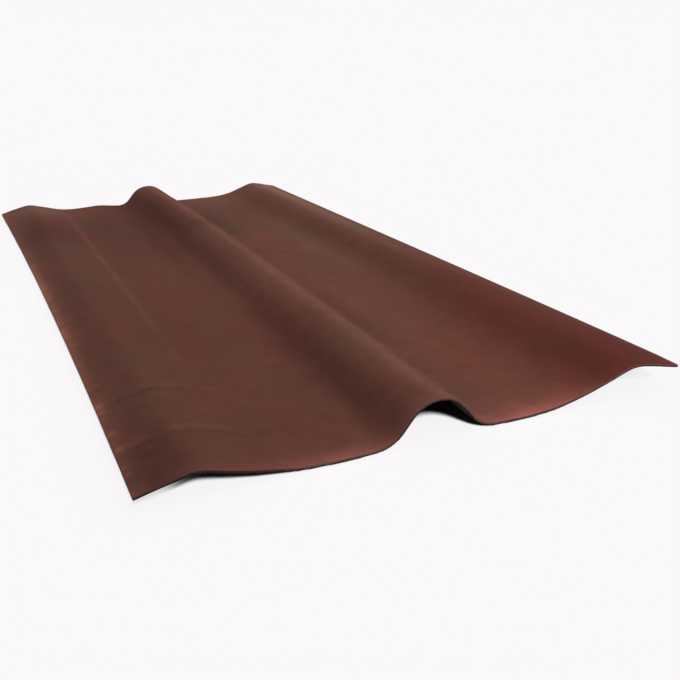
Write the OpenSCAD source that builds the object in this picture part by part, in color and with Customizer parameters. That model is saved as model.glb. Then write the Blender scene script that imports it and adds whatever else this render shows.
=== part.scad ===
// Ridge cap for a roof of corrugated bitumen sheets: one pressed sheet of bitumen and
// fibre, with a raised roll along the middle, a wing on each side of it, and a low wave
// along each long edge.
//
// Millimetres. +X runs across the cap, +Y along the ridge and +Z up. The origin is under
// the middle of the cap, on the ground that the two wings lie on.
// Heights and radii of the section are those of the sheet's mid thickness.

/* [Sheet] */
// Length along the ridge
sheet_l = 1000; // [500:10:1300]
// Width from one long edge to the other
sheet_w = 485; // [380:5:600]
// Thickness of the sheet
sheet_t = 3; // [2:0.1:4]

/* [Roll] */
// Height of the roll above the wings
roll_h = 31; // [20:1:45]
// Width of the roll, from one foot to the other
roll_w = 108; // [90:1:140]
// Radius over the top of the roll
roll_r = 32; // [20:1:40]
// Radius of the hollow at each foot of the roll
roll_foot_r = 28; // [10:1:60]

/* [Wings] */
// Width of the level strip of a wing, beside the foot of the roll
wing_flat_w = 34; // [5:1:60]

/* [Edge waves] */
// Height of a wave above its wing
wave_h = 20; // [10:1:30]
// Distance from the crest of a wave to its long edge
wave_edge = 43; // [30:1:60]
// Fall from the crest of a wave to its long edge
wave_fall = 8; // [4:0.5:14]
// Radius over the crest of a wave
wave_r = 36; // [20:1:50]
// Radius of the hollow where a wing starts to rise to its wave
wave_foot_r = 270; // [80:5:400]

/* [Hidden] */

// Widest angle between two neighbouring points of an arc, in degrees
arc_step = 3;
// Least length of straight flank between a crest and the hollow at its foot
least_flank = 2;

// Places across the sheet, from the middle
roll_foot_x = roll_w / 2;
wing_flat_x = roll_foot_x + wing_flat_w;
wave_x = sheet_w / 2 - wave_edge;
wing_rise_w = wave_x - wing_flat_x;

// A hollow that is too round for the width it has to climb in is made tighter
roll_hollow_r = min(roll_foot_r, widest_hollow(roll_foot_x, roll_h, roll_r));
wing_hollow_r = min(wave_foot_r, widest_hollow(wing_rise_w, wave_h, wave_r));

// Slopes of the straight flanks, in degrees
roll_slope = flank_slope(roll_foot_x, roll_h, roll_r, roll_hollow_r);
wing_slope = flank_slope(wing_rise_w, wave_h, wave_r, wing_hollow_r);
edge_slope = flank_slope(wave_edge, wave_fall, wave_r, 0);

// Slope of the flank that touches a crest arc and a hollow arc, where the top of the crest
// lies run across from the bottom of the hollow and rise above it
function flank_slope(run, rise, crest_r, hollow_r) =
    let (reach = crest_r + hollow_r)
    asin(min(1, reach / norm([run, reach - rise]))) - atan2(reach - rise, run);

// Radius of the widest hollow that leaves least_flank of straight flank below the crest
function widest_hollow(run, rise, crest_r) =
    (run * run + rise * rise - least_flank * least_flank) / (2 * rise) - crest_r;

// Points of an arc, from one angle to another about [x, z]
function arc(x, z, r, from, to) =
    let (steps = ceil(abs(to - from) / arc_step))
    [for (i = [0 : steps])
        let (a = from + (to - from) * i / steps)
        [x + r * cos(a), z + r * sin(a)]];

// Where the long edge cuts the slope that leaves the wave, lift above mid thickness
function edge_point(lift) =
    let (r = wave_r + lift,
         x = wave_x + r * sin(edge_slope),
         z = wave_h - wave_r + r * cos(edge_slope))
    [sheet_w / 2, z - (sheet_w / 2 - x) * tan(edge_slope)];

// One side of the sheet, lift above mid thickness, from the top of the roll to a long edge
function half_side(lift) = concat(
    arc(0, roll_h - roll_r, roll_r + lift, 90, 90 - roll_slope),
    arc(roll_foot_x, roll_hollow_r, roll_hollow_r - lift, 270 - roll_slope, 270),
    arc(wing_flat_x, wing_hollow_r, wing_hollow_r - lift, 270, 270 + wing_slope),
    arc(wave_x, wave_h - wave_r, wave_r + lift, 90 + wing_slope, 90 - edge_slope),
    [edge_point(lift)]);

function mirrored(points) = [for (p = points) [-p.x, p.y]];
function backwards(points) = [for (i = [len(points) - 1 : -1 : 0]) points[i]];
function past_first(points) = [for (i = [1 : len(points) - 1]) points[i]];

// One side of the sheet from the left long edge to the right one
function whole_side(lift) =
    let (half = half_side(lift))
    concat(backwards(mirrored(past_first(half))), half);

module sheet_section() {
    polygon(concat(whole_side(sheet_t / 2), backwards(whole_side(-sheet_t / 2))));
}

// The whole cap is one sheet: its section carried along the ridge
module ridge_cap() {
    color([0.37, 0.23, 0.20])
        translate([0, 0, sheet_t / 2])
            rotate([90, 0, 0])
                linear_extrude(height = sheet_l, center = true)
                    sheet_section();
}

ridge_cap();
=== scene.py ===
"""The ridge cap's looks: one pressed sheet of bitumen and fibre on a pale floor.

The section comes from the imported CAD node. The sheet is built again from it on a finer
grid, slightly out of true as a thin pressed sheet lies, with its creases and ripples.
Metres, in the CAD's frame: +X across the cap, +Y along the ridge, +Z up. Where a table
gives mm, along is from the near end, and across is from what the table's comment says.
"""

import math
from collections import namedtuple

import bpy
import numpy as np
from mathutils import Matrix, Vector
from mathutils.bvhtree import BVHTree


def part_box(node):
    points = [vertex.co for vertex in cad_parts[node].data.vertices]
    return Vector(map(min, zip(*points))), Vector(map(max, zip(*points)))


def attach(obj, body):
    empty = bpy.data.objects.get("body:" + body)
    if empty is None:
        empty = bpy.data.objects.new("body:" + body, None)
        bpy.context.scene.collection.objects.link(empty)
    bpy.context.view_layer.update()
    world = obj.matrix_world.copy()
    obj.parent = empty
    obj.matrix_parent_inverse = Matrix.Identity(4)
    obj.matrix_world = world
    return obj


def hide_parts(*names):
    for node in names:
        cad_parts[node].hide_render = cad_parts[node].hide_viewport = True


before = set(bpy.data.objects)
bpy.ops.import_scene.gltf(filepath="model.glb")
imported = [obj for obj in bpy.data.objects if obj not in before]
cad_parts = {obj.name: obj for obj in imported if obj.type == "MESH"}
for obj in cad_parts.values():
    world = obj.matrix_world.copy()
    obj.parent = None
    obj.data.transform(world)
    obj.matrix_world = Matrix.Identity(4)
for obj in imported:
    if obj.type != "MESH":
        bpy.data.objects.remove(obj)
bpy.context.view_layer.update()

NODE = "ridge_cap"
MM = 0.001
SAME_PLACE = 1e-6
# Beyond either end of the sheet, in mm, and further than a soft end fades, in its widths
ALL = 2000
FAR = 50

# Grid of the sheet: finer at the two creases and near the near end
COLUMN_STEP = 3.4 * MM
CREASE_STEP = 1.1 * MM
CREASE_REACH = 12.0 * MM
COLUMN_SAMPLES = 4001
ROW_STEP_NEAR = 2.6 * MM
ROW_STEP_FAR = 5.0 * MM
NEAR_LENGTH = 200.0 * MM

# How far the sheet lies out of true. Its long edges rise or sink, and bow sideways.
WING_FOOT = 88.0 * MM
WING_POWER = 1.2
LEFT_LIFT_NEAR = -1.4 * MM
LEFT_LIFT_FAR = -8.5 * MM
RIGHT_LIFT_NEAR = 8.5 * MM
RIGHT_LIFT_MIDDLE = 0.2 * MM
RIGHT_LIFT_FAR = -0.7 * MM
LEFT_BOW = 4.9 * MM
LEFT_SHIFT_NEAR = 2.7 * MM
RIGHT_SHIFT_NEAR = -0.5 * MM

# The roll bows sideways, and its crest rises near and sinks far
ROLL_REACH = 70.0 * MM
ROLL_DRIFT_NEAR = -0.9 * MM
ROLL_DRIFT_FAR = 3.4 * MM
ROLL_BOW = 7.2 * MM
ROLL_BOW_REACH = 95.0 * MM
ROLL_BOW_POWER = 1.3
ROLL_CREST_REACH = 45.0 * MM
ROLL_LIFT_NEAR = 0.7 * MM
ROLL_LIFT_FAR = -0.8 * MM

# The creases bend the wings, more and more between two shares of the length. Each bend runs
# straight up to its peak and down again, or with a rounded foot and top.
LEFT_CREASE = -145.5 * MM
RIGHT_CREASE = 155.5 * MM
CREASE_FROM = 0.15
CREASE_FULL = 0.85
Bend = namedtuple("Bend", "start peak end lift rounded")
BENDS = (
    Bend(-200.0 * MM, LEFT_CREASE, -92.0 * MM, -1.2 * MM, False),
    Bend(LEFT_CREASE, -88.0 * MM, -40.0 * MM, 3.6 * MM, True),
    Bend(100.0 * MM, RIGHT_CREASE, 199.0 * MM, -3.1 * MM, False),
)

# The near end isn't cut quite square, and is out of true by itself. The powers say how fast
# that fades away from it.
NEAR_POWER = 6
NEAR_SKEW = 1.6 * MM
NEAR_ARCH = 3.7 * MM
NEAR_ROLL_SHIFT = 1.3 * MM
NEAR_ROLL_BACK = 1.3 * MM
NEAR_ROLL_LIFT = 0.2 * MM
NEAR_ROLL_REACH = 62.0 * MM
NEAR_WING_PLACE = -132.0 * MM
NEAR_WING_LIFT = 1.0 * MM
NEAR_WING_REACH = 36.0 * MM
TIP_START = 170.0 * MM
NEAR_RIGHT_TIP = -5.7 * MM
NEAR_RIGHT_TIP_LIFT = -1.0 * MM
CORNER_POWER = 60
CORNER_REACH = 20.0 * MM
CORNER_ASIDE = -1.4 * MM
CORNER_BACK = 1.2 * MM

# Cut edges: how much they wander, how rough and how rounded they are
CUT_WANDER = 0.22 * MM
CUT_ROUGH = 0.12 * MM
CUT_BANDS = 4
EDGE_ROUND = 0.45 * MM
EDGE_DROP = 0.6 * EDGE_ROUND
WANDER_LENGTHS = (11 * MM, 23 * MM, 47 * MM, 90 * MM)
WANDER_RADIAN = 0.16
WANDER_PHASES = 6.28
TORN_SEED = 100
# Each cut edge: its points in the grid, the axes it runs along and wanders in, which way is
# inward, and the seed of its wander
Cut = namedtuple("Cut", "points runs wanders inward seed")
CUTS = (
    Cut(np.s_[0, :], 0, 1, 1, 3),
    Cut(np.s_[-1, :], 0, 1, -1, 5),
    Cut(np.s_[:, 0], 1, 0, 1, 7),
    Cut(np.s_[:, -1], 1, 0, -1, 9),
)

# The sheet's material slots, and the order of corners that turns a face over
TOP_SLOT, UNDER_SLOT, CUT_SLOT = range(3)
FLIPPED = (0, 3, 2, 1)

# Soft unevenness of the whole sheet: its height in mm, its waves per mm and its phase
Wave = namedtuple("Wave", "height across along phase")
WAVES = (
    Wave(0.10, 0.021, 0.0047, 0.6),
    Wave(0.09, -0.013, 0.0083, 2.1),
    Wave(0.07, 0.034, 0.0121, 4.0),
    Wave(0.05, 0.009, 0.0290, 1.3),
)
UNDER_RELIEF = 0.8
RELIEF_FADE = 4.0 * MM

# Bands along the sheet, in mm: each one's place from a line, its width, where it starts and
# ends along, how softly, and how high or pale it is
Band = namedtuple("Band", "place width start end soft size")
# The left crease's line, from the left long edge, drifts to the right along the sheet
LEFT_LINE_NEAR = 93.5
LEFT_LINE_DRIFT = 3.0
LEFT_LINE_LENGTH = 700
# Shape of the creases, from the left crease's line and from the left long edge
LEFT_CREASE_SHAPE = (
    Band(0, 2.8, 240, 930, 35, 0.450),
    Band(6, 3.5, 240, 930, 35, -0.225),
)
RIGHT_CREASE_SHAPE = (Band(398, 4.0, 320, 750, 30, 0.240),)
# Where the coat is paler: rubbed coat and a painted highlight along the left crease, a painted
# highlight on the roll's crest, paler left and right rims, and a painted sheen along the near
# end
CREASE_WEAR_AND_HIGHLIGHT = (Band(0, 5.0, 230, 900, 20, 1.15),)
CREASE_PALE_LEAST = 0.28
CREASE_PALE_FULL = (360, 1100, 30)
CREST_PAINTED_HIGHLIGHT = (
    Band(248.5, 8.5, -ALL, ALL, 1, 1.00),
    Band(248.5, 8.5, 700, 1200, 60, -0.10),
)
LEFT_RIM_PALER = (
    Band(0, 7.0, 150, 700, 50, 0.95),
    Band(0, 5.0, -ALL, ALL, 1, 0.45),
    Band(1.5, 6.5, 290, 640, 40, 2.00),
    Band(0, 16.0, 90, 900, 60, 0.45),
)
LEFT_RIM_LEAST = 0.55
LEFT_RIM_UNEVEN = 0.90
LEFT_RIM_SEED = 11
RIGHT_RIM_PALER = (Band(0, 5.0, -ALL, ALL, 1, 0.20),)
NEAR_PAINTED_SHEEN = 0.28
NEAR_PAINTED_SHEEN_WIDTH = 6.0

# Stretches across the sheet, in mm from the left long edge
Stretch = namedtuple("Stretch", "start end soft size")
# Where the near end's edge is painted redder, a painted sheen, and how far in
RED_STRETCHES = (
    Stretch(110, 195, 9, 0.40),
    Stretch(285, 388, 11, 1.00),
)
RED_LEAST = 0.12
RED_LENGTH = 15
# How much of the coat laps over the near end's cut edge, and where the left edge has little
LAP_STRETCHES = (
    Stretch(112, ALL, 5, 0.60),
    Stretch(200, 232, 4, -0.40),
    Stretch(-ALL, 32, 5, 0.15),
)
LAP_LEAST = 0.10
SIDE_TURN = 12.0 * MM
BARE_ACROSS = (-ALL, 50, 4)
BARE_ALONG = (-ALL, 56, 4)
BARE_SHARE = 0.9

# Wrinkles across the sheet: the line each follows, in mm from the left long edge and from
# the near end, how deep and wide it is, how strong the painted highlight on its far lip and
# the painted shade on its near lip are, and how dark the painted shade in its floor is
Wrinkle = namedtuple("Wrinkle", "line depth width rub soil")
WRINKLES = (
    Wrinkle(((38, 157), (50, 159), (64, 161), (76, 163), (87, 161)), 1.50, 6.2, 0.40, 0.0),
    Wrinkle(((84, 157.5), (97, 155.5), (112, 154.5)), 1.20, 5.0, 0.34, 0.0),
    Wrinkle(((14, 147), (23, 153.5), (31, 154.5), (43, 153.5)), 1.10, 6.0, 0.22, 0.34),
    Wrinkle(((46, 132), (58, 134), (74, 133.5)), 0.60, 5.0, 0.15, 0.0),
    Wrinkle(((44, 69.5), (64, 73.5), (76, 75), (86, 74), (98, 69.5)), 1.70, 5.4, 0.42, 0.0),
    Wrinkle(((92, 62.5), (102, 61.5), (114, 60.5)), 0.40, 4.5, 0.10, 0.15),
    Wrinkle(((86, 85), (102, 86)), 0.20, 5.0, 0.00, 0.22),
    Wrinkle(((108, 61), (120, 63), (133, 64), (143, 57)), 0.25, 4.0, 0.00, 0.40),
    Wrinkle(((12, 65), (20, 67), (31, 64.5)), 1.80, 5.2, 0.40, 0.36),
    Wrinkle(((14, 49), (20, 48), (27, 45)), 1.50, 4.6, 0.30, 0.45),
    Wrinkle(((122, 143), (134, 143)), 0.50, 5.0, 0.12, 0.0),
    Wrinkle(((28, 704), (45, 709), (62, 704)), 0.80, 7.0, 0.25, 0.0),
)
WRINKLE_FADE = 2.4
LIP_PLACE = 0.75
LIP_WIDTH = 0.8

# Small marks: where each lies, in mm from the left long edge and from the near end, how far
# it reaches, and how much paler it is. Below 0 it is darker.
Mark = namedtuple("Mark", "across along reach pale")
MARKS = (
    # Chips of the coat on the left rim
    Mark(3.3, 153.0, 3.6, 3.2),
    Mark(3.3, 138.0, 2.8, 2.2),
    Mark(3.3, 97.5, 3.4, 2.6),
    Mark(3.6, 69.6, 4.0, 3.2),
    Mark(3.0, 41.5, 3.0, 2.4),
    Mark(2.6, 30.0, 2.8, 2.0),
    # A darker spot on the left wave, and spots of painted shade in the foot behind the roll
    Mark(9.8, 183.6, 4.5, -0.9),
    Mark(309.0, 722.0, 14.0, -0.5),
    Mark(301.0, 599.0, 12.0, -0.4),
    Mark(308.0, 458.0, 12.0, -0.3),
    # The roll's crest, with less of its painted highlight in one place and more in another
    Mark(248.5, 683.0, 26.0, -0.95),
    Mark(248.5, 400.0, 30.0, 0.15),
)

# Broad, soft differences in the coat's lightness and redness, partly its own uneven tone and
# partly painted light and shade: where each lies, in mm from the sheet's middle and from the
# near end, how lighter it is and how redder. soft is how its ends along fade.
Zone = namedtuple("Zone", "across reach start end soft light warmth")
ZONES = (
    # Left wave and wing
    Zone(-222, 9, -ALL, 20, 7, -0.22, -0.10),
    Zone(-218, 24, -ALL, ALL, 40, -0.28, 0.00),
    Zone(-216, 17, 740, 820, 14, -0.17, 0.00),
    Zone(-215, 34, -ALL, 70, 20, -0.28, -0.03),
    Zone(-190, 60, 922, ALL, 14, 0.46, -0.18),
    Zone(-185, 35, 720, 860, 18, -0.31, 0.10),
    Zone(-182, 12, 280, 700, 30, -0.08, 0.00),
    Zone(-178, 30, -ALL, 18, 8, 0.13, 0.02),
    Zone(-148, 8, 400, 570, 20, -0.08, 0.00),
    Zone(-130, 60, 255, 330, 15, -0.07, 0.00),
    Zone(-125, 70, -ALL, ALL, 40, -0.17, 0.05),
    Zone(-120, 90, 600, 930, 25, -0.15, -0.02),
    # Roll and its feet
    Zone(-75, 45, -ALL, 14, 7, 0.42, 0.08),
    Zone(-74, 14, 240, 330, 20, -0.08, 0.00),
    Zone(-56, 9, 45, 110, 12, 0.12, 0.00),
    Zone(-55, 28, 600, ALL, 40, -0.25, 0.06),
    Zone(-46, 18, 60, ALL, 40, -0.17, 0.03),
    Zone(-45, 8, 370, 760, 25, 0.12, 0.00),
    Zone(-40, 14, 600, 780, 25, 0.12, 0.00),
    Zone(-37, 10, 12, 340, 15, -0.10, 0.02),
    Zone(-30, 18, -ALL, 70, 20, -0.12, 0.00),
    Zone(-28, 14, 330, 770, 40, 0.05, -0.03),
    Zone(-26, 8, 690, 940, 25, -0.11, 0.00),
    Zone(-14, 15, 720, 940, 30, -0.32, 0.00),
    Zone(-12, 12, 180, 250, 15, -0.11, 0.00),
    Zone(0, 40, -ALL, 2.2, 0.7, -0.05, -0.20),
    Zone(56, 14, 190, 400, 40, -0.26, 0.07),
    Zone(62, 20, 730, 880, 30, -0.45, -0.13),
    # Right wing and wave
    Zone(90, 34, -ALL, 18, 8, 0.34, 0.14),
    Zone(95, 40, -ALL, 700, 40, 0.06, 0.07),
    Zone(110, 60, 740, ALL, 40, -0.08, -0.02),
    Zone(112, 20, 45, 260, 15, 0.03, 0.07),
    Zone(142, 20, 480, 740, 40, 0.20, -0.17),
    Zone(142, 13, 820, ALL, 20, -0.09, 0.00),
    Zone(150, 80, 930, ALL, 15, 0.28, -0.05),
    Zone(170, 34, -ALL, 290, 40, -0.17, 0.36),
    Zone(172, 18, -ALL, ALL, 40, -0.20, 0.00),
    Zone(172, 14, 660, 790, 20, 0.10, 0.00),
    Zone(186, 20, 18, 52, 8, -0.09, 0.00),
    Zone(190, 16, 370, 560, 25, -0.02, 0.08),
    Zone(210, 18, 180, 360, 40, -0.40, 0.44),
    Zone(212, 20, 520, ALL, 40, 0.28, -0.24),
    Zone(214, 26, -ALL, 120, 40, -0.47, 0.46),
    Zone(216, 10, 500, 540, 12, -0.14, 0.00),
    Zone(222, 17, 820, ALL, 20, 0.16, 0.00),
    Zone(226, 12, 580, ALL, 30, 0.24, 0.00),
    Zone(228, 12, -ALL, 240, 30, -0.12, 0.00),
)
# What a zone's warmth takes off the coat's light, which shade gives back
WARMTH_LOSS = 0.47

# Colours
DARK = (0.094, 0.0370, 0.0266)
PALE = (0.160, 0.0660, 0.0472)
OLIVE = (0.115, 0.0500, 0.0345)
RUST = (0.132, 0.0480, 0.0350)
RED = (0.228, 0.0830, 0.0690)
UNDER_DARK = (0.022, 0.015, 0.012)
UNDER_PALE = (0.038, 0.024, 0.019)
UNDER_FLECK = (0.060, 0.038, 0.030)
CUT_ABOVE = (0.024, 0.012, 0.010)
CUT_BELOW = (0.007, 0.005, 0.004)
CUT_LAYER = (0.032, 0.018, 0.014)
CUT_COAT = (0.175, 0.080, 0.066)

# Noise patterns of the coat, the underside and the cut edge. A stretch below 1 makes a
# pattern longer along that axis.
Pattern = namedtuple("Pattern", "scale detail rough stretch")
EVEN = (1, 1, 1)
CLOUDS = Pattern(5.0, 3.0, 0.50, (1, 0.45, 1))
TINT = Pattern(14.0, 3.0, 0.55, (1, 0.7, 1))
MOTTLE = Pattern(46.0, 4.0, 0.60, (1, 0.7, 1))
BLOTCH = Pattern(110.0, 3.0, 0.60, EVEN)
RIPPLES = Pattern(95.0, 3.0, 0.60, (0.10, 1, 0.10))
FIBRE = Pattern(620.0, 3.0, 0.60, (0.45, 1, 1))
SPECK = Pattern(1500.0, 2.0, 0.70, EVEN)
UNDER_MOTTLE = Pattern(38.0, 4.0, 0.60, EVEN)
UNDER_FIBRE = Pattern(520.0, 3.0, 0.60, (0.5, 1, 1))
LAYERS = Pattern(900.0, 3.0, 0.65, (0.25, 0.25, 2.2))
TORN = Pattern(240.0, 4.0, 0.60, EVEN)
# The parts of a noise pattern's range that hold most of its values, and nearly all
MOST = (0.30, 0.70)
NEARLY_ALL = (0.20, 0.80)

# How each pattern lightens and darkens the coat, and how it breaks up the wear and painted
# light, and the painted red sheen
COAT_SPREAD = ((CLOUDS, 0.06), (MOTTLE, 0.07), (BLOTCH, 0.04), (RIPPLES, 0.01))
WEAR_BROKEN = (0.20, 0.36)
RED_FROM = (0.30, 0.60)
RED_BROKEN = (0.75, 1.00)
# Flecks: their pattern, the part of its range where they come in, strength and colour
Fleck = namedtuple("Fleck", "pattern part strength colour")
COAT_FLECKS = (
    Fleck(FIBRE, (0.40, 0.72), 0.16, PALE),
    Fleck(SPECK, (0.62, 0.80), 0.25, DARK),
)
UNDER_FLECKS = (
    Fleck(UNDER_MOTTLE, (0.35, 0.70), 0.80, UNDER_PALE),
    Fleck(UNDER_FIBRE, (0.45, 0.75), 0.35, UNDER_FLECK),
)
CUT_FLECKS = (Fleck(LAYERS, (0.52, 0.78), 0.35, CUT_LAYER),)
# How rough and how glossy each surface is
COAT_ROUGHNESS = (0.80, 0.92)
COAT_SPECULAR = 0.05
UNDER_ROUGHNESS = (0.78, 0.92)
UNDER_SPECULAR = 0.04
CUT_ROUGHNESS = (0.80, 0.94)
CUT_SPECULAR = 0.08
# Fine relief: each pattern's height and strength
COAT_FINE = ((MOTTLE, 0.60 * MM, 0.35), (FIBRE, 0.22 * MM, 0.55), (SPECK, 0.12 * MM, 0.45))
UNDER_FINE = ((UNDER_FIBRE, 0.20 * MM, 0.50),)
CUT_FINE = ((LAYERS, 0.30 * MM, 0.70), (TORN, 0.40 * MM, 0.50))
# The print of the forming screen on the underside
SCREEN_PITCH = 2.2 * MM
SCREEN_HEIGHT = 0.16 * MM
SCREEN_STRENGTH = 0.6
# The cut edge from its top, 0, to its underside, 1: how far its colours waver, where they
# turn, and where the coat that laps over it ends
CUT_WAVER_FROM = (0.25, 0.75)
CUT_WAVER = (-0.16, 0.16)
CUT_TURN = (0.18, 0.72)
CUT_LAP_END = (0.45, 0.95)

# Camera
CAMERA_PLACE = (-0.3188, -0.9949, 0.3079)
CAMERA_TURN = math.radians(25.079)
CAMERA_DOWN = math.radians(20.908)
CAMERA_ROLL = math.radians(-0.271)
CAMERA_LENS = 44.418
CAMERA_SENSOR = 36.0
CAMERA_CLIP = (0.01, 200)

# Light
Lamp = namedtuple("Lamp", "name strength angle source")
FRONT_LAMP = Lamp("front", 2.26, math.radians(8), (-0.27, -1.32, 1.0))
RIGHT_LAMP = Lamp("right", 1.11, math.radians(80), (0.74, 0.0, 1.0))
DISC_RINGS = (0.35, 0.65, 0.92)
DISC_SPOKES = 8
WHITE = (1, 1, 1)
SKY_LOW = 0.04
SKY_TOP = 0.29

# Floor: its colours, its grid, the painted light that lifts its shadow at the two near
# corners, and the painted shadow that darkens it in the near end's mouths
PAPER = (0.957, 0.939, 0.948)
FLOOR_COLOUR = (0.60, 0.59, 0.59)
FLOOR_LEVEL = 0.91
FLOOR_GLOW = 0.90
# How dark the painted shadow in the near end's mouths makes the floor's colour
FLOOR_PAINTED_SHADOW = 0.25
FLOOR_FINE = 2.4 * MM
FLOOR_FINER = 1.2 * MM
FLOOR_COLUMN = 1.6 * MM
FLOOR_MARGIN = 60.0 * MM
FLOOR_DROP = 0.2 * MM
FLOOR_END = 30.0
LEFT_TIP_END = -206.0 * MM
LEFT_TIP_LENGTH = 42.0 * MM
RIGHT_TIP_START = 125.0 * MM
RIGHT_TIP_LENGTH = 75.0 * MM
TIP_SOFT = 4.0 * MM
TIP_FADE = 14.0 * MM
DEEP_SIDES = (-205.0 * MM, 105.0 * MM)
DEEP_LENGTH = 110.0 * MM
DEEP_SOFT = 12.0 * MM


# ---------------------------------------------------------------- curves

def tent(x, start, peak, end):
    """0 up to start, straight up to 1 at peak, straight down to 0 at end."""
    return np.interp(x, [start, peak, end], [0, 1, 0])


def bump(distance, width):
    """A soft ridge of height 1 whose half width is about width."""
    return np.exp(-((distance / width) ** 2))


def plateau(distance, width):
    """Like a bump, with a flatter top and steeper sides."""
    return np.exp(-((distance / width) ** 4))


def between(value, low, high, soft):
    """About 1 between low and high, fading over soft at both ends."""
    rise = 1 / (1 + np.exp(np.clip((low - value) / soft, -FAR, FAR)))
    fall = 1 / (1 + np.exp(np.clip((value - high) / soft, -FAR, FAR)))
    return rise * fall


def bands(from_line, fy, rows):
    """The sum of bands along the sheet, at a distance from their line, all in mm."""
    total = 0
    for band in rows:
        share = between(fy, band.start, band.end, band.soft)
        total = total + band.size * bump(from_line - band.place, band.width) * share
    return total


def stretches(fx, rows):
    """The sum of stretches across the sheet, in mm from the left long edge."""
    return sum(row.size * between(fx, row.start, row.end, row.soft) for row in rows)


def smooth_through(distance, line, at):
    """Cubic Hermite curve through the points of a line, so its facets vanish."""
    step = np.diff(distance)
    chord = np.diff(line, axis=0) / step[:, None]
    tangent = np.empty_like(line)
    tangent[0] = chord[0]
    tangent[-1] = chord[-1]
    weight = (step[1:] / (step[1:] + step[:-1]))[:, None]
    tangent[1:-1] = chord[:-1] * weight + chord[1:] * (1 - weight)
    i = np.clip(np.searchsorted(distance, at, side="right") - 1, 0, len(step) - 1)
    h = step[i][:, None]
    t = ((at - distance[i]) / step[i])[:, None]
    start = line[i] * (2 * t**3 - 3 * t**2 + 1) + tangent[i] * h * (t**3 - 2 * t**2 + t)
    end = line[i + 1] * (3 * t**2 - 2 * t**3) + tangent[i + 1] * h * (t**3 - t**2)
    return start + end


def wander(values, seed):
    """A repeatable wander from 0 to 1 along a cut edge."""
    rng = np.random.default_rng(seed)
    total = np.zeros_like(values)
    for length in WANDER_LENGTHS:
        phase = rng.uniform(0, WANDER_PHASES)
        total = total + np.sin(values / (length * WANDER_RADIAN) + phase)
    return 0.5 + total / (2 * len(WANDER_LENGTHS))


# ---------------------------------------------------------------- section

def welded(points):
    """Unique points, and the index of each point among them."""
    keys = np.round(points / SAME_PLACE).astype(np.int64)
    _, first, index = np.unique(keys, axis=0, return_index=True, return_inverse=True)
    return points[first], index.reshape(-1)


def near_end_edges(mesh, points, index):
    """How many triangles of the near end use each of their edges."""
    near = points[:, 1].min() + SAME_PLACE
    uses = {}
    for triangle in mesh.loop_triangles:
        corners = [int(index[i]) for i in triangle.vertices]
        if any(points[c][1] > near for c in corners):
            continue
        for a, b in zip(corners, corners[1:] + corners[:1]):
            key = (min(a, b), max(a, b))
            uses[key] = uses.get(key, 0) + 1
    return uses


def near_end_loop(node):
    """The outline of the node's near end, as (x, z) points in order."""
    mesh = node.data
    mesh.calc_loop_triangles()
    raw = np.array([v.co for v in mesh.vertices], float).reshape(-1, 3)
    points, index = welded(raw)
    beside = {}
    for (a, b), count in near_end_edges(mesh, points, index).items():
        if count == 1:
            beside.setdefault(a, []).append(b)
            beside.setdefault(b, []).append(a)
    start = min(beside)
    loop = [start]
    before = None
    while True:
        here = loop[-1]
        onward = [n for n in beside[here] if n != before]
        before = here
        if onward[0] == start:
            break
        loop.append(onward[0])
    return points[loop][:, [0, 2]]


def section_lines(node):
    """The top and bottom lines of the section, left to right, point for point."""
    loop = near_end_loop(node)
    left = np.where(loop[:, 0] < loop[:, 0].min() + SAME_PLACE)[0]
    top_left = left[np.argmax(loop[left, 1])]
    loop = np.roll(loop, -top_left, axis=0)
    if loop[1, 0] < loop[0, 0] + SAME_PLACE:
        loop = np.roll(loop[::-1], 1, axis=0)
    right = np.where(loop[:, 0] > loop[:, 0].max() - SAME_PLACE)[0]
    top = loop[: right[0] + 1]
    bottom = loop[right[0] + 1:][::-1]
    if len(top) != len(bottom):
        raise ValueError("the section's two lines don't match point for point")
    return top, bottom


def column_places(distance, across):
    """Places of the columns along the section, closer together at the two creases."""
    fine = np.linspace(0, distance[-1], COLUMN_SAMPLES)
    x = np.interp(fine, distance, across)
    off = np.minimum(np.abs(x - LEFT_CREASE), np.abs(x - RIGHT_CREASE))
    step = np.interp(off, [CREASE_REACH, 2 * CREASE_REACH], [CREASE_STEP, COLUMN_STEP])
    count = np.concatenate([[0], np.cumsum(np.diff(fine) / step[1:])])
    return np.interp(np.linspace(0, count[-1], int(round(count[-1])) + 1), count, fine)


def fine_section(node):
    """The section resampled at close steps: top and bottom (x, z) points."""
    top, bottom = section_lines(node)
    middle = (top + bottom) / 2
    run = np.hypot(*np.diff(middle, axis=0).T)
    distance = np.concatenate([[0.0], np.cumsum(run)])
    at = column_places(distance, middle[:, 0])
    return smooth_through(distance, top, at), smooth_through(distance, bottom, at)


# ---------------------------------------------------------------- shape

def wing_reach(x):
    """0 inside the feet of the wings, rising to 1 at the long edges."""
    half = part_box(NODE)[1].x
    return np.clip((np.abs(x) - WING_FOOT) / (half - WING_FOOT), 0, None) ** WING_POWER


def near_share(u):
    """1 at the near end, fading fast along the sheet."""
    return (1 - u) ** NEAR_POWER


def corner_share(x, u):
    """1 at the near right corner, fading within a small reach."""
    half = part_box(NODE)[1].x
    across = np.clip((x - (half - CORNER_REACH)) / CORNER_REACH, 0, 1)
    return across * (1 - u) ** CORNER_POWER


def tip_share(x):
    """0 up to the start of the right tip, rising to 1 at its end."""
    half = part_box(NODE)[1].x
    return np.clip((x - TIP_START) / (half - TIP_START), 0, 1) ** 2


def crease_bend(x):
    """How the two creases bend the wings where they are sharpest."""
    total = 0
    for bend in BENDS:
        rise = tent(x, bend.start, bend.peak, bend.end)
        if bend.rounded:
            rise = rise * rise * (3 - 2 * rise)
        total = total + bend.lift * rise
    return total


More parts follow.
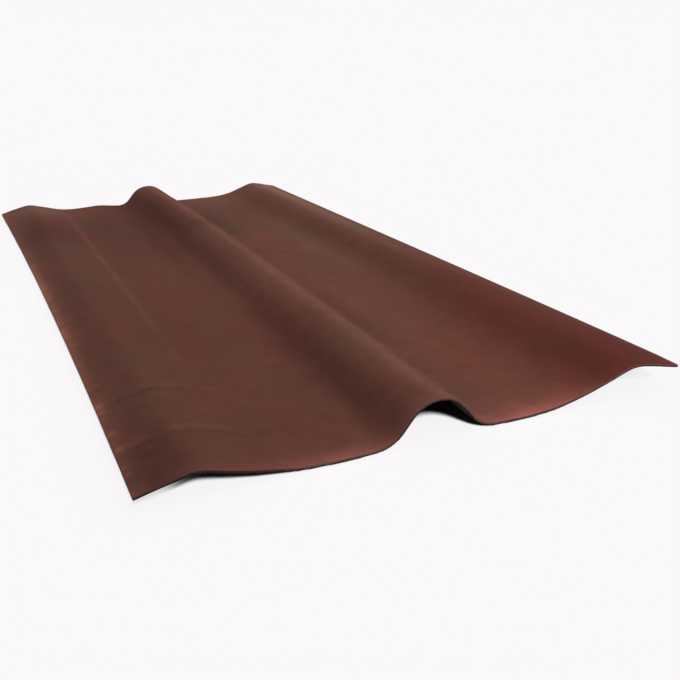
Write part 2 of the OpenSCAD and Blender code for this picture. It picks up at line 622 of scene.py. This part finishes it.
def upward(x, u):
    """How far the sheet is lifted at x, and at share u of its length."""
    middle = 4 * u * (1 - u)
    left = LEFT_LIFT_NEAR * (1 - u) + LEFT_LIFT_FAR * u
    right = RIGHT_LIFT_NEAR * (1 - u) + RIGHT_LIFT_MIDDLE * middle + RIGHT_LIFT_FAR * u
    lift = wing_reach(x) * np.where(x < 0, left, right)

    creased = np.clip((u - CREASE_FROM) / (CREASE_FULL - CREASE_FROM), 0, 1)
    lift = lift + creased * crease_bend(x)
    crest = ROLL_LIFT_NEAR * (1 - u) + ROLL_LIFT_FAR * u
    lift = lift + bump(x, ROLL_CREST_REACH) * crest

    near = NEAR_ROLL_LIFT * plateau(x, NEAR_ROLL_REACH)
    near = near + NEAR_WING_LIFT * bump(x - NEAR_WING_PLACE, NEAR_WING_REACH)
    near = near + NEAR_RIGHT_TIP_LIFT * tip_share(x)
    return lift + near_share(u) * near


def sideways(x, u):
    """How far the sheet is shifted to the right at x, and at share u of its length."""
    drift = ROLL_DRIFT_NEAR * (1 - u) + ROLL_DRIFT_FAR * u
    bow = ROLL_BOW * np.sin(math.pi * u**ROLL_BOW_POWER)
    aside = plateau(x, ROLL_REACH) * drift + plateau(x, ROLL_BOW_REACH) * bow

    left = LEFT_BOW * 4 * u * (1 - u) + LEFT_SHIFT_NEAR * (1 - u)
    right = RIGHT_SHIFT_NEAR * (1 - u)
    aside = aside + wing_reach(x) * np.where(x < 0, left, right)
    aside = aside + near_share(u) * NEAR_ROLL_SHIFT * plateau(x, NEAR_ROLL_REACH)
    return aside + CORNER_ASIDE * corner_share(x, u)


def endways(x, u):
    """How far the sheet is shifted away from the near end at x, and at share u."""
    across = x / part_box(NODE)[1].x
    back = NEAR_SKEW * across + NEAR_ARCH * (1 - across**2) + NEAR_RIGHT_TIP * tip_share(x)
    back = back + NEAR_ROLL_BACK * plateau(x, NEAR_ROLL_REACH)
    return near_share(u) * back + CORNER_BACK * corner_share(x, u)


def from_corner(x, y):
    """Places in mm from the left long edge and from the near end."""
    low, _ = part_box(NODE)
    return (x - low.x) / MM, (y - low.y) / MM


def from_left_crease(fx, fy):
    """Distance in mm from the left crease's line."""
    return fx - LEFT_LINE_NEAR - LEFT_LINE_DRIFT * np.clip(fy / LEFT_LINE_LENGTH, 0, 1)


def along_wrinkle(fx, fy, wrinkle):
    """How far a place lies beyond a wrinkle's line, and how much of the wrinkle is there."""
    across, along = np.array(wrinkle.line, float).T
    at = np.clip(fx, across[0], across[-1]).ravel()
    line = smooth_through(across, along[:, None], at).reshape(fx.shape)
    return fy - line, between(fx, across[0], across[-1], WRINKLE_FADE)


def relief(x, y):
    """Creases, ripples and soft unevenness of the sheet, in metres along its normal."""
    fx, fy = from_corner(x, y)
    high = bands(from_left_crease(fx, fy), fy, LEFT_CREASE_SHAPE)
    high = high + bands(fx, fy, RIGHT_CREASE_SHAPE)
    for wrinkle in WRINKLES:
        beyond, share = along_wrinkle(fx, fy, wrinkle)
        high = high - wrinkle.depth * share * bump(beyond, wrinkle.width)
    for wave in WAVES:
        turns = wave.across * fx + wave.along * fy
        high = high + wave.height * np.sin(2 * math.pi * turns + wave.phase)
    return high * MM


def row_places(near, far):
    """Places of the rows along the ridge, closer together near the near end."""
    turn = near + NEAR_LENGTH
    front = np.linspace(near, turn, int(round(NEAR_LENGTH / ROW_STEP_NEAR)) + 1)
    back = np.linspace(turn, far, int(round((far - turn) / ROW_STEP_FAR)) + 1)
    return np.concatenate([front, back[1:]])


def inset_rows(line):
    """The line with one more point just inside each of its ends, for a rounded edge."""
    first = line[0] + EDGE_ROUND
    last = line[-1] - EDGE_ROUND
    return np.concatenate([line[:1], [first], line[1:-1], [last], line[-1:]])


def surface_points(line, rows, share):
    """Grid of points of one face of the sheet, with this share of the relief."""
    low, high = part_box(NODE)
    x, y = np.meshgrid(line[:, 0], rows)
    u = (y - low.y) / (high.y - low.y)
    slope = np.gradient(line[:, 1]) / np.gradient(line[:, 0])
    normal = np.stack([-slope, np.ones_like(slope)], axis=1)
    normal = normal / np.linalg.norm(normal, axis=1)[:, None]
    to_side = np.minimum(x - low.x, high.x - x)
    size = share * relief(x, y) * np.clip(to_side / RELIEF_FADE, 0, 1)
    out_x = x + sideways(x, u) + size * normal[:, 0]
    out_y = y + endways(x, u)
    out_z = line[:, 1] + upward(x, u) + size * normal[:, 1]
    return np.stack([out_x, out_y, out_z], axis=2)


def trim_edges(top, bottom):
    """Cut edges wander inwards, and the outermost points drop to round the corners."""
    for cut in CUTS:
        inward = cut.inward * CUT_WANDER * wander(top[cut.points][:, cut.runs], cut.seed)
        for face, rise in ((top, -EDGE_DROP), (bottom, EDGE_DROP)):
            edge = face[cut.points]
            edge[:, cut.wanders] += inward
            edge[:, 2] += rise


def lay_on_floor(top, bottom):
    """What lies below the floor is lifted up to it."""
    sunk = np.minimum(bottom[:, :, 2], 0)
    bottom[:, :, 2] -= sunk
    top[:, :, 2] -= sunk


def torn_offset(ring, band):
    """Small repeatable offsets of a cut edge's points, from -1 to 1 along each level axis."""
    rng = np.random.default_rng(TORN_SEED + band)
    offset = rng.uniform(-1, 1, ring.shape)
    offset[:, 2] = 0
    return (offset + np.roll(offset, 1, axis=0)) / 2


def quads(*corners):
    """Faces whose corners are the matching entries of four arrays of point numbers."""
    return np.stack([corner.ravel() for corner in corners], axis=1)


def grid_quads(index):
    """The faces of a grid of point numbers."""
    return quads(index[:-1, :-1], index[:-1, 1:], index[1:, 1:], index[1:, :-1])


def cut_rings(points, index):
    """Rings of point numbers down the cut edge, from the border of the top grid to the
    underside's, and all points with the new rings'."""
    border = np.concatenate([index[0, :-1], index[:-1, -1], index[-1, :0:-1], index[:0:-1, 0]])
    under = border + index.size
    rings = [border]
    for band in range(1, CUT_BANDS):
        share = band / CUT_BANDS
        ring = points[border] * (1 - share) + points[under] * share
        ring = ring + CUT_ROUGH * torn_offset(ring, band)
        rings.append(np.arange(len(border)) + len(points))
        points = np.concatenate([points, ring])
    return rings + [under], points


def new_mesh(name, points, faces):
    mesh = bpy.data.meshes.new(name)
    mesh.from_pydata(points.tolist(), [], faces.tolist())
    return mesh


def store(mesh, name, values):
    """Stores a value on each point of the mesh, for Nodes.field to read."""
    attribute = mesh.attributes.new(name, "FLOAT", "POINT")
    attribute.data.foreach_set("value", np.asarray(values, np.float32))


def sheet_mesh(node):
    """The closed mesh of the sheet: top, underside and four cut edges."""
    low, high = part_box(NODE)
    top_line, bottom_line = fine_section(node)
    rows = inset_rows(row_places(low.y, high.y))
    top = surface_points(top_line, rows, 1)
    bottom = surface_points(bottom_line, rows, UNDER_RELIEF)
    trim_edges(top, bottom)
    lay_on_floor(top, bottom)

    index = np.arange(top.size // 3).reshape(top.shape[:2])
    points = np.concatenate([top.reshape(-1, 3), bottom.reshape(-1, 3)])
    rings, points = cut_rings(points, index)
    upper = grid_quads(index)
    under = grid_quads(index + index.size)[:, FLIPPED]
    cut = [quads(a, b, np.roll(b, -1), np.roll(a, -1)) for a, b in zip(rings, rings[1:])]
    faces = np.concatenate([upper, under, *cut])
    counts = (len(upper), len(under), sum(len(band) for band in cut))
    slots = np.repeat((TOP_SLOT, UNDER_SLOT, CUT_SLOT), counts)
    mesh = new_mesh("ridge_cap_sheet", points, faces)
    mesh.polygons.foreach_set("material_index", slots.astype(np.int32))
    mesh.polygons.foreach_set("use_smooth", np.ones(len(faces), bool))
    mark_cut_corners(mesh)
    store_cut(mesh, points, rings)
    store_coat(mesh, *np.meshgrid(top_line[:, 0], rows))
    mesh.update()
    return mesh


def mark_cut_corners(mesh):
    """The corners between a face and a cut edge are sharp, so each shades by itself."""
    slots = {}
    for polygon in mesh.polygons:
        for key in polygon.edge_keys:
            slots.setdefault(key, set()).add(polygon.material_index)
    for edge in mesh.edges:
        key = tuple(sorted(edge.vertices))
        edge.use_edge_sharp = len(slots[key]) > 1


# ---------------------------------------------------------------- coat

def wear_and_painted_light(x, y):
    """Paler or darker coat: chips, darker spots, paler rims, rubbed coat and a painted highlight
    on the left crease, a painted highlight on the roll's crest, a painted sheen along the near
    end, painted highlight and shade on the ripples' lips and painted shade in their floors.
    """
    fx, fy = from_corner(x, y)
    # Rubbed coat and a painted highlight along the left crease
    total = bands(from_left_crease(fx, fy), fy, CREASE_WEAR_AND_HIGHLIGHT)
    full = between(fy, *CREASE_PALE_FULL)
    total = total * (CREASE_PALE_LEAST + (1 - CREASE_PALE_LEAST) * full)
    for wrinkle in WRINKLES:
        beyond, share = along_wrinkle(fx, fy, wrinkle)
        # Painted highlight on each ripple's far lip, painted shade on its near lip, and painted
        # shade in its floor
        far_lip = bump(beyond - LIP_PLACE * wrinkle.width, LIP_WIDTH * wrinkle.width)
        near_lip = bump(beyond + LIP_PLACE * wrinkle.width, LIP_WIDTH * wrinkle.width)
        total = total + wrinkle.rub * share * (far_lip - near_lip)
        total = total - wrinkle.soil * share * bump(beyond, wrinkle.width)
    for mark in MARKS:
        away = np.hypot(fx - mark.across, fy - mark.along)
        total = total + mark.pale * bump(away, mark.reach)
    # Painted highlight along the roll's crest
    total = total + bands(fx, fy, CREST_PAINTED_HIGHLIGHT)
    # Painted sheen along the near end
    total = total + NEAR_PAINTED_SHEEN * bump(fy - NEAR_PAINTED_SHEEN_WIDTH, NEAR_PAINTED_SHEEN_WIDTH)
    # Paler along the left and right rims
    uneven = LEFT_RIM_LEAST + LEFT_RIM_UNEVEN * wander(y, LEFT_RIM_SEED)
    total = total + bands(fx, fy, LEFT_RIM_PALER) * uneven
    to_right = (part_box(NODE)[1].x - x) / MM
    return total + bands(to_right, fy, RIGHT_RIM_PALER)


def zones(x, y, strength):
    """The sum of the zones at each place, each times the strength named."""
    _, fy = from_corner(x, y)
    total = np.zeros_like(fy)
    for zone in ZONES:
        share = bump(x / MM - zone.across, zone.reach)
        share = share * between(fy, zone.start, zone.end, zone.soft)
        total = total + share * getattr(zone, strength)
    return total


def warmth(x, y):
    """How much redder the coat is than its mean: the share taken off green and blue."""
    return 1 - np.exp(-zones(x, y, "warmth"))


def shade(x, y):
    """How much lighter the coat is than its mean, partly its own tone and partly painted light
    and shade, with the loss to warmth made good.
    """
    return np.exp(zones(x, y, "light") + WARMTH_LOSS * zones(x, y, "warmth")) - 1


def redness(x, y):
    """1 where the near end's edge is painted redder, a painted sheen, in the two valleys."""
    fx, fy = from_corner(x, y)
    return (RED_LEAST + stretches(fx, RED_STRETCHES)) * np.exp(-fy / RED_LENGTH)


COAT_FIELDS = (("wear_and_painted_light", wear_and_painted_light), ("shade", shade), ("warmth", warmth), ("redness", redness))


def store_coat(mesh, x, y):
    """Stores what the coat is like at each point of the top."""
    for name, field in COAT_FIELDS:
        values = np.zeros(len(mesh.vertices))
        values[: x.size] = field(x, y).ravel()
        store(mesh, name, values)


def coat_over_cut(points):
    """How much of the coat laps over the cut edge: most on the long edges and right of the
    left wave, least on the left wave's end."""
    low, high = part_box(NODE)
    x, y = points[:, 0], points[:, 1]
    to_end = np.minimum(y - low.y, high.y - y)
    to_side = np.minimum(x - low.x, high.x - x)
    side = np.clip((to_end - to_side) / SIDE_TURN, 0, 1)
    fx, fy = from_corner(x, y)
    bare = between(fy, *BARE_ALONG) * between(fx, *BARE_ACROSS)
    return np.maximum(side * (1 - BARE_SHARE * bare), LAP_LEAST + stretches(fx, LAP_STRETCHES))


def store_cut(mesh, points, rings):
    """Stores how deep each point of the cut edge lies, and the coat that laps over it."""
    depth = np.zeros(len(points))
    lap = np.zeros(len(points))
    for band, ring in enumerate(rings):
        depth[ring] = band / CUT_BANDS
        lap[ring] = coat_over_cut(points[rings[0]])
    store(mesh, "depth", depth)
    store(mesh, "lap", lap)


# ---------------------------------------------------------------- materials

class Nodes:
    """Short calls that add and join the nodes of one material or world."""

    def __init__(self, owner):
        owner.use_nodes = True
        self.owner = owner
        self.tree = owner.node_tree
        self.noises = {}

    def feed(self, socket, value):
        """Joins a socket to another one, or gives it a plain value."""
        if isinstance(value, bpy.types.NodeSocket):
            self.tree.links.new(value, socket)
        elif socket.type == "RGBA":
            socket.default_value = (*value, 1)
        else:
            socket.default_value = value

    def add(self, kind, inputs, **settings):
        """A new node with these settings and inputs, which are sockets or plain values."""
        node = self.tree.nodes.new("ShaderNode" + kind)
        for name, value in settings.items():
            setattr(node, name, value)
        for key, value in inputs.items():
            self.feed(node.inputs[key], value)
        return node

    def math(self, operation, a, b=0.0):
        return self.add("Math", {0: a, 1: b}, operation=operation).outputs[0]

    def place(self, kind):
        """Where each point lies: Object or Generated."""
        return self.add("TexCoord", {}).outputs[kind]

    def xyz(self, place):
        return self.add("SeparateXYZ", {0: place}).outputs

    def noise(self, pattern):
        """The noise of a pattern, made once."""
        if pattern not in self.noises:
            inputs = {"Vector": self.place("Object"), "Scale": pattern.stretch}
            place = self.add("Mapping", inputs).outputs["Vector"]
            inputs = {"Vector": place, "Scale": pattern.scale, "Detail": pattern.detail}
            inputs["Roughness"] = pattern.rough
            self.noises[pattern] = self.add("TexNoise", inputs).outputs["Fac"]
        return self.noises[pattern]

    def span(self, value, source, target):
        """The value, turned smoothly from one range into another."""
        inputs = {"Value": value, "From Min": source[0], "From Max": source[1]}
        inputs["To Min"], inputs["To Max"] = target
        return self.add("MapRange", inputs, interpolation_type="SMOOTHSTEP").outputs["Result"]

    def mix(self, factor, a, b):
        """The colour that lies this far from a to b."""
        return self.add("Mix", {"Factor": factor, 6: a, 7: b}, data_type="RGBA").outputs[2]

    def flecked(self, colour, flecks):
        """The colour with flecks on it, one kind after another."""
        for fleck in flecks:
            share = self.span(self.noise(fleck.pattern), fleck.part, (0, fleck.strength))
            colour = self.mix(share, colour, fleck.colour)
        return colour

    def field(self, name):
        """A value stored on the mesh's points."""
        return self.add("Attribute", {}, attribute_name=name).outputs["Fac"]

    def scaled(self, colour, factor):
        node = self.add("VectorMath", {0: colour, "Scale": factor}, operation="SCALE")
        return node.outputs["Vector"]

    def warmed(self, colour, amount):
        """The colour with this share taken off its green and blue."""
        kept = self.math("SUBTRACT", 1.0, amount)
        share = self.add("CombineXYZ", {"X": 1.0, "Y": kept, "Z": kept}).outputs[0]
        node = self.add("VectorMath", {0: colour, 1: share}, operation="MULTIPLY")
        return node.outputs["Vector"]

    def bump(self, height, distance, strength, below=None):
        inputs = {"Height": height, "Distance": distance, "Strength": strength}
        if below is not None:
            inputs["Normal"] = below
        return self.add("Bump", inputs).outputs["Normal"]

    def fine_relief(self, rows, below=None):
        """The normal with each pattern's relief on it, one after another."""
        for pattern, distance, strength in rows:
            below = self.bump(self.noise(pattern), distance, strength, below)
        return below

    def seen_directly(self):
        """1 for camera, glossy and transmission rays, 0 for the rays that light things."""
        path = self.add("LightPath", {}).outputs
        either = self.math("MAXIMUM", path["Is Camera Ray"], path["Is Glossy Ray"])
        return self.math("MAXIMUM", either, path["Is Transmission Ray"])

    def show_blend(self, kind, factor, a, b):
        """Ends a tree that was cleared in a blend of two shaders."""
        shaders = {"Fac": factor, 1: a.outputs[0], 2: b.outputs[0]}
        blend = self.add("MixShader", shaders)
        self.add("Output" + kind, {"Surface": blend.outputs[0]})

    def finish(self, colour, roughness, specular, normal):
        """Gives the material's own shader its looks."""
        looks = {"Base Color": colour, "Roughness": roughness, "Normal": normal}
        looks["Specular IOR Level"] = specular
        for name, value in looks.items():
            self.feed(self.tree.nodes["Principled BSDF"].inputs[name], value)
        return self.owner


def top_material():
    """The matt coated top: mottled red-brown, felted and worn, with painted light and shade, and
    redder along its near edge, a painted sheen.
    """
    n = Nodes(bpy.data.materials.new("bitumen_top"))
    colour = n.mix(n.span(n.noise(TINT), MOST, (0, 1)), RUST, OLIVE)
    colour = n.flecked(colour, COAT_FLECKS)
    mottle = n.noise(MOTTLE)
    # The painted red sheen along the near end's edge, broken up by the mottle
    patchy = n.math("MULTIPLY", n.field("redness"), n.span(mottle, RED_FROM, RED_BROKEN))
    colour = n.mix(patchy, colour, RED)

    # Wear with painted highlight and shade, broken up by the mottle
    light = n.math("MULTIPLY", n.field("wear_and_painted_light"), n.span(mottle, MOST, WEAR_BROKEN))
    for pattern, spread in COAT_SPREAD:
        light = n.math("ADD", light, n.span(n.noise(pattern), MOST, (-spread, spread)))
    light = n.math("ADD", light, 1.0)
    # The zones' lightness, partly the coat's own tone and partly painted light and shade
    light = n.math("MULTIPLY", light, n.math("ADD", n.field("shade"), 1.0))
    colour = n.warmed(n.scaled(colour, light), n.field("warmth"))

    roughness = n.span(mottle, NEARLY_ALL, COAT_ROUGHNESS)
    return n.finish(colour, roughness, COAT_SPECULAR, n.fine_relief(COAT_FINE))


def under_material():
    """The uncoated underside: darker, with the print of the forming screen."""
    n = Nodes(bpy.data.materials.new("bitumen_underside"))
    x, y, _ = n.xyz(n.place("Object"))
    turns = 2 * math.pi / SCREEN_PITCH
    warp = n.math("SINE", n.math("MULTIPLY", x, turns))
    weft = n.math("SINE", n.math("MULTIPLY", y, turns))
    printed = n.bump(n.math("MULTIPLY", warp, weft), SCREEN_HEIGHT, SCREEN_STRENGTH)
    normal = n.fine_relief(UNDER_FINE, printed)
    colour = n.flecked(UNDER_DARK, UNDER_FLECKS)
    roughness = n.span(n.noise(UNDER_FIBRE), NEARLY_ALL, UNDER_ROUGHNESS)
    return n.finish(colour, roughness, UNDER_SPECULAR, normal)


def cut_material():
    """The cut edge: coated red above, darker torn fibre towards the underside."""
    n = Nodes(bpy.data.materials.new("bitumen_cut_edge"))
    torn = n.noise(TORN)
    depth = n.math("ADD", n.field("depth"), n.span(torn, CUT_WAVER_FROM, CUT_WAVER))
    colour = n.mix(n.span(depth, CUT_TURN, (0, 1)), CUT_ABOVE, CUT_BELOW)
    colour = n.flecked(colour, CUT_FLECKS)
    lapped = n.math("MULTIPLY", n.field("lap"), n.span(depth, CUT_LAP_END, (1, 0)))
    colour = n.mix(lapped, colour, CUT_COAT)
    roughness = n.span(torn, NEARLY_ALL, CUT_ROUGHNESS)
    return n.finish(colour, roughness, CUT_SPECULAR, n.fine_relief(CUT_FINE))


def floor_material():
    """A pale floor. Where the front lamp reaches it, it is mostly paper white to the camera,
    so the soft shadow round the cap is pale and the front lamp's own shadow stays dark. Just
    inside the near end's mouths that shadow is darkened more by a painted shadow in its colour."""
    material = bpy.data.materials.new("pale_floor")
    n = Nodes(material)
    n.tree.nodes.clear()
    seen = n.seen_directly()
    pale = [value / FLOOR_LEVEL for value in PAPER]
    # The floor's colour under the painted shadow
    shaded = [FLOOR_PAINTED_SHADOW * value / FLOOR_LEVEL for value in PAPER]
    colour = n.mix(seen, FLOOR_COLOUR, n.mix(n.field("free_of_painted_shadow"), shaded, pale))
    diffuse = n.add("BsdfDiffuse", {"Color": colour})
    glow = n.add("Emission", {"Color": PAPER, "Strength": 1.0})
    glowing = n.math("MULTIPLY", n.field("lit"), FLOOR_GLOW)
    n.show_blend("Material", n.math("MULTIPLY", seen, glowing), diffuse, glow)
    return material


# ---------------------------------------------------------------- floor

def disc_directions(lamp):
    """Directions towards a lamp's disc: its middle and three rings."""
    middle = Vector(lamp.source).normalized()
    aside = middle.cross(Vector((0, 0, 1))).normalized()
    upright = aside.cross(middle)
    directions = [middle]
    for ring in DISC_RINGS:
        reach = ring * math.tan(lamp.angle / 2)
        for spoke in range(DISC_SPOKES):
            angle = 2 * math.pi * (spoke + ring) / DISC_SPOKES
            offset = aside * math.cos(angle) + upright * math.sin(angle)
            directions.append((middle + reach * offset).normalized())
    return directions


def lit_share(points, cap, lamp):
    """How much of a lamp each point of the floor sees past the cap."""
    tree = BVHTree.FromObject(cap, bpy.context.evaluated_depsgraph_get())
    directions = disc_directions(lamp)
    shares = np.ones(len(points))
    for i, point in enumerate(points.tolist()):
        if max(abs(point[0]), abs(point[1])) < FLOOR_END:
            blocked = sum(tree.ray_cast(Vector(point), way)[0] is not None for way in directions)
            shares[i] = 1 - blocked / len(directions)
    return shares


def near_tips(points):
    """1 on the floor under and beside the two near corners, 0 elsewhere: there the floor glows
    as though the front lamp reached it, a painted light over its shadow.
    """
    x, y = points[:, 0], points[:, 1]
    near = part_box(NODE)[0].y
    left = between(x, -FLOOR_END, LEFT_TIP_END, TIP_SOFT)
    left = left * between(y, -FLOOR_END, near + LEFT_TIP_LENGTH, TIP_FADE)
    right = between(x, RIGHT_TIP_START, FLOOR_END, TIP_SOFT)
    right = right * between(y, -FLOOR_END, near + RIGHT_TIP_LENGTH, TIP_FADE)
    return left + right


def painted_shadow_places(points):
    """1 on the floor just inside the near end's mouths, where the lamp's shadow gets a painted
    shadow in the floor's colour as well.
    """
    x, y = points[:, 0], points[:, 1]
    across = between(x, *DEEP_SIDES, DEEP_SOFT)
    return across * between(y, -FLOOR_END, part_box(NODE)[0].y + DEEP_LENGTH, DEEP_SOFT)


def floor_places(*spans):
    """Places of the floor's grid lines: each span is a start, an end and a step."""
    lines = [np.arange(start, end, step) for start, end, step in spans]
    return np.concatenate([[-FLOOR_END], *lines, [FLOOR_END]])


def build_floor(cap):
    low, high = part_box(NODE)
    turn = low.y + FLOOR_MARGIN
    xs = floor_places((low.x - FLOOR_MARGIN, high.x + FLOOR_MARGIN, FLOOR_COLUMN))
    ys = floor_places((low.y - FLOOR_MARGIN, turn, FLOOR_FINER),
                      (turn, high.y + FLOOR_MARGIN, FLOOR_FINE))
    grid_x, grid_y = np.meshgrid(xs, ys)
    points = np.stack([grid_x.ravel(), grid_y.ravel(), np.zeros(grid_x.size)], axis=1)
    index = np.arange(grid_x.size).reshape(grid_x.shape)
    mesh = new_mesh("floor", points, grid_quads(index))
    # The lamp's share, with painted light at the two near corners
    lit = np.maximum(lit_share(points, cap, FRONT_LAMP), near_tips(points))
    store(mesh, "lit", lit)
    # The share of the floor's colour free of the painted shadow in the mouths
    store(mesh, "free_of_painted_shadow", 1 - painted_shadow_places(points) * (1 - lit))
    mesh.materials.append(floor_material())
    floor = bpy.data.objects.new("floor", mesh)
    floor.location.z = -FLOOR_DROP
    bpy.context.scene.collection.objects.link(floor)


# ---------------------------------------------------------------- scene

def build_cap():
    mesh = sheet_mesh(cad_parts[NODE])
    for material in (top_material(), under_material(), cut_material()):
        mesh.materials.append(material)
    cap = bpy.data.objects.new("cap_sheet", mesh)
    bpy.context.scene.collection.objects.link(cap)
    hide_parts(NODE)
    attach(cap, "root")
    return cap


def build_camera():
    a, e, r = CAMERA_TURN, CAMERA_DOWN, CAMERA_ROLL
    forward = Vector((math.sin(a) * math.cos(e), math.cos(a) * math.cos(e), -math.sin(e)))
    right = Vector((math.cos(a), -math.sin(a), 0))
    up = right.cross(forward)
    side = math.cos(r) * right + math.sin(r) * up
    rise = -math.sin(r) * right + math.cos(r) * up
    data = bpy.data.cameras.new("camera")
    data.lens = CAMERA_LENS
    data.sensor_width = CAMERA_SENSOR
    data.clip_start, data.clip_end = CAMERA_CLIP
    camera = bpy.data.objects.new("camera", data)
    turn = Matrix((side, rise, -forward)).transposed().to_4x4()
    camera.matrix_world = Matrix.Translation(CAMERA_PLACE) @ turn
    bpy.context.scene.collection.objects.link(camera)
    bpy.context.scene.camera = camera


def build_lamps():
    for lamp in (FRONT_LAMP, RIGHT_LAMP):
        data = bpy.data.lights.new(lamp.name, "SUN")
        data.energy = lamp.strength
        data.angle = lamp.angle
        light = bpy.data.objects.new(lamp.name, data)
        light.rotation_euler = Vector(lamp.source).to_track_quat("Z", "Y").to_euler()
        bpy.context.scene.collection.objects.link(light)


def build_world():
    """A dim sky that is brighter above, and paper white where it is seen directly."""
    world = bpy.data.worlds.new("world")
    bpy.context.scene.world = world
    n = Nodes(world)
    n.tree.nodes.clear()
    height = n.xyz(n.place("Generated"))["Z"]
    level = n.add("MapRange", {"Value": height, "To Min": SKY_LOW, "To Max": SKY_TOP})
    sky = n.add("Background", {"Color": WHITE, "Strength": level.outputs["Result"]})
    paper = n.add("Background", {"Color": PAPER, "Strength": 1.0})
    n.show_blend("World", n.seen_directly(), sky, paper)


bpy.context.scene.view_settings.view_transform = "Standard"
build_floor(build_cap())
build_camera()
build_lamps()
build_world()
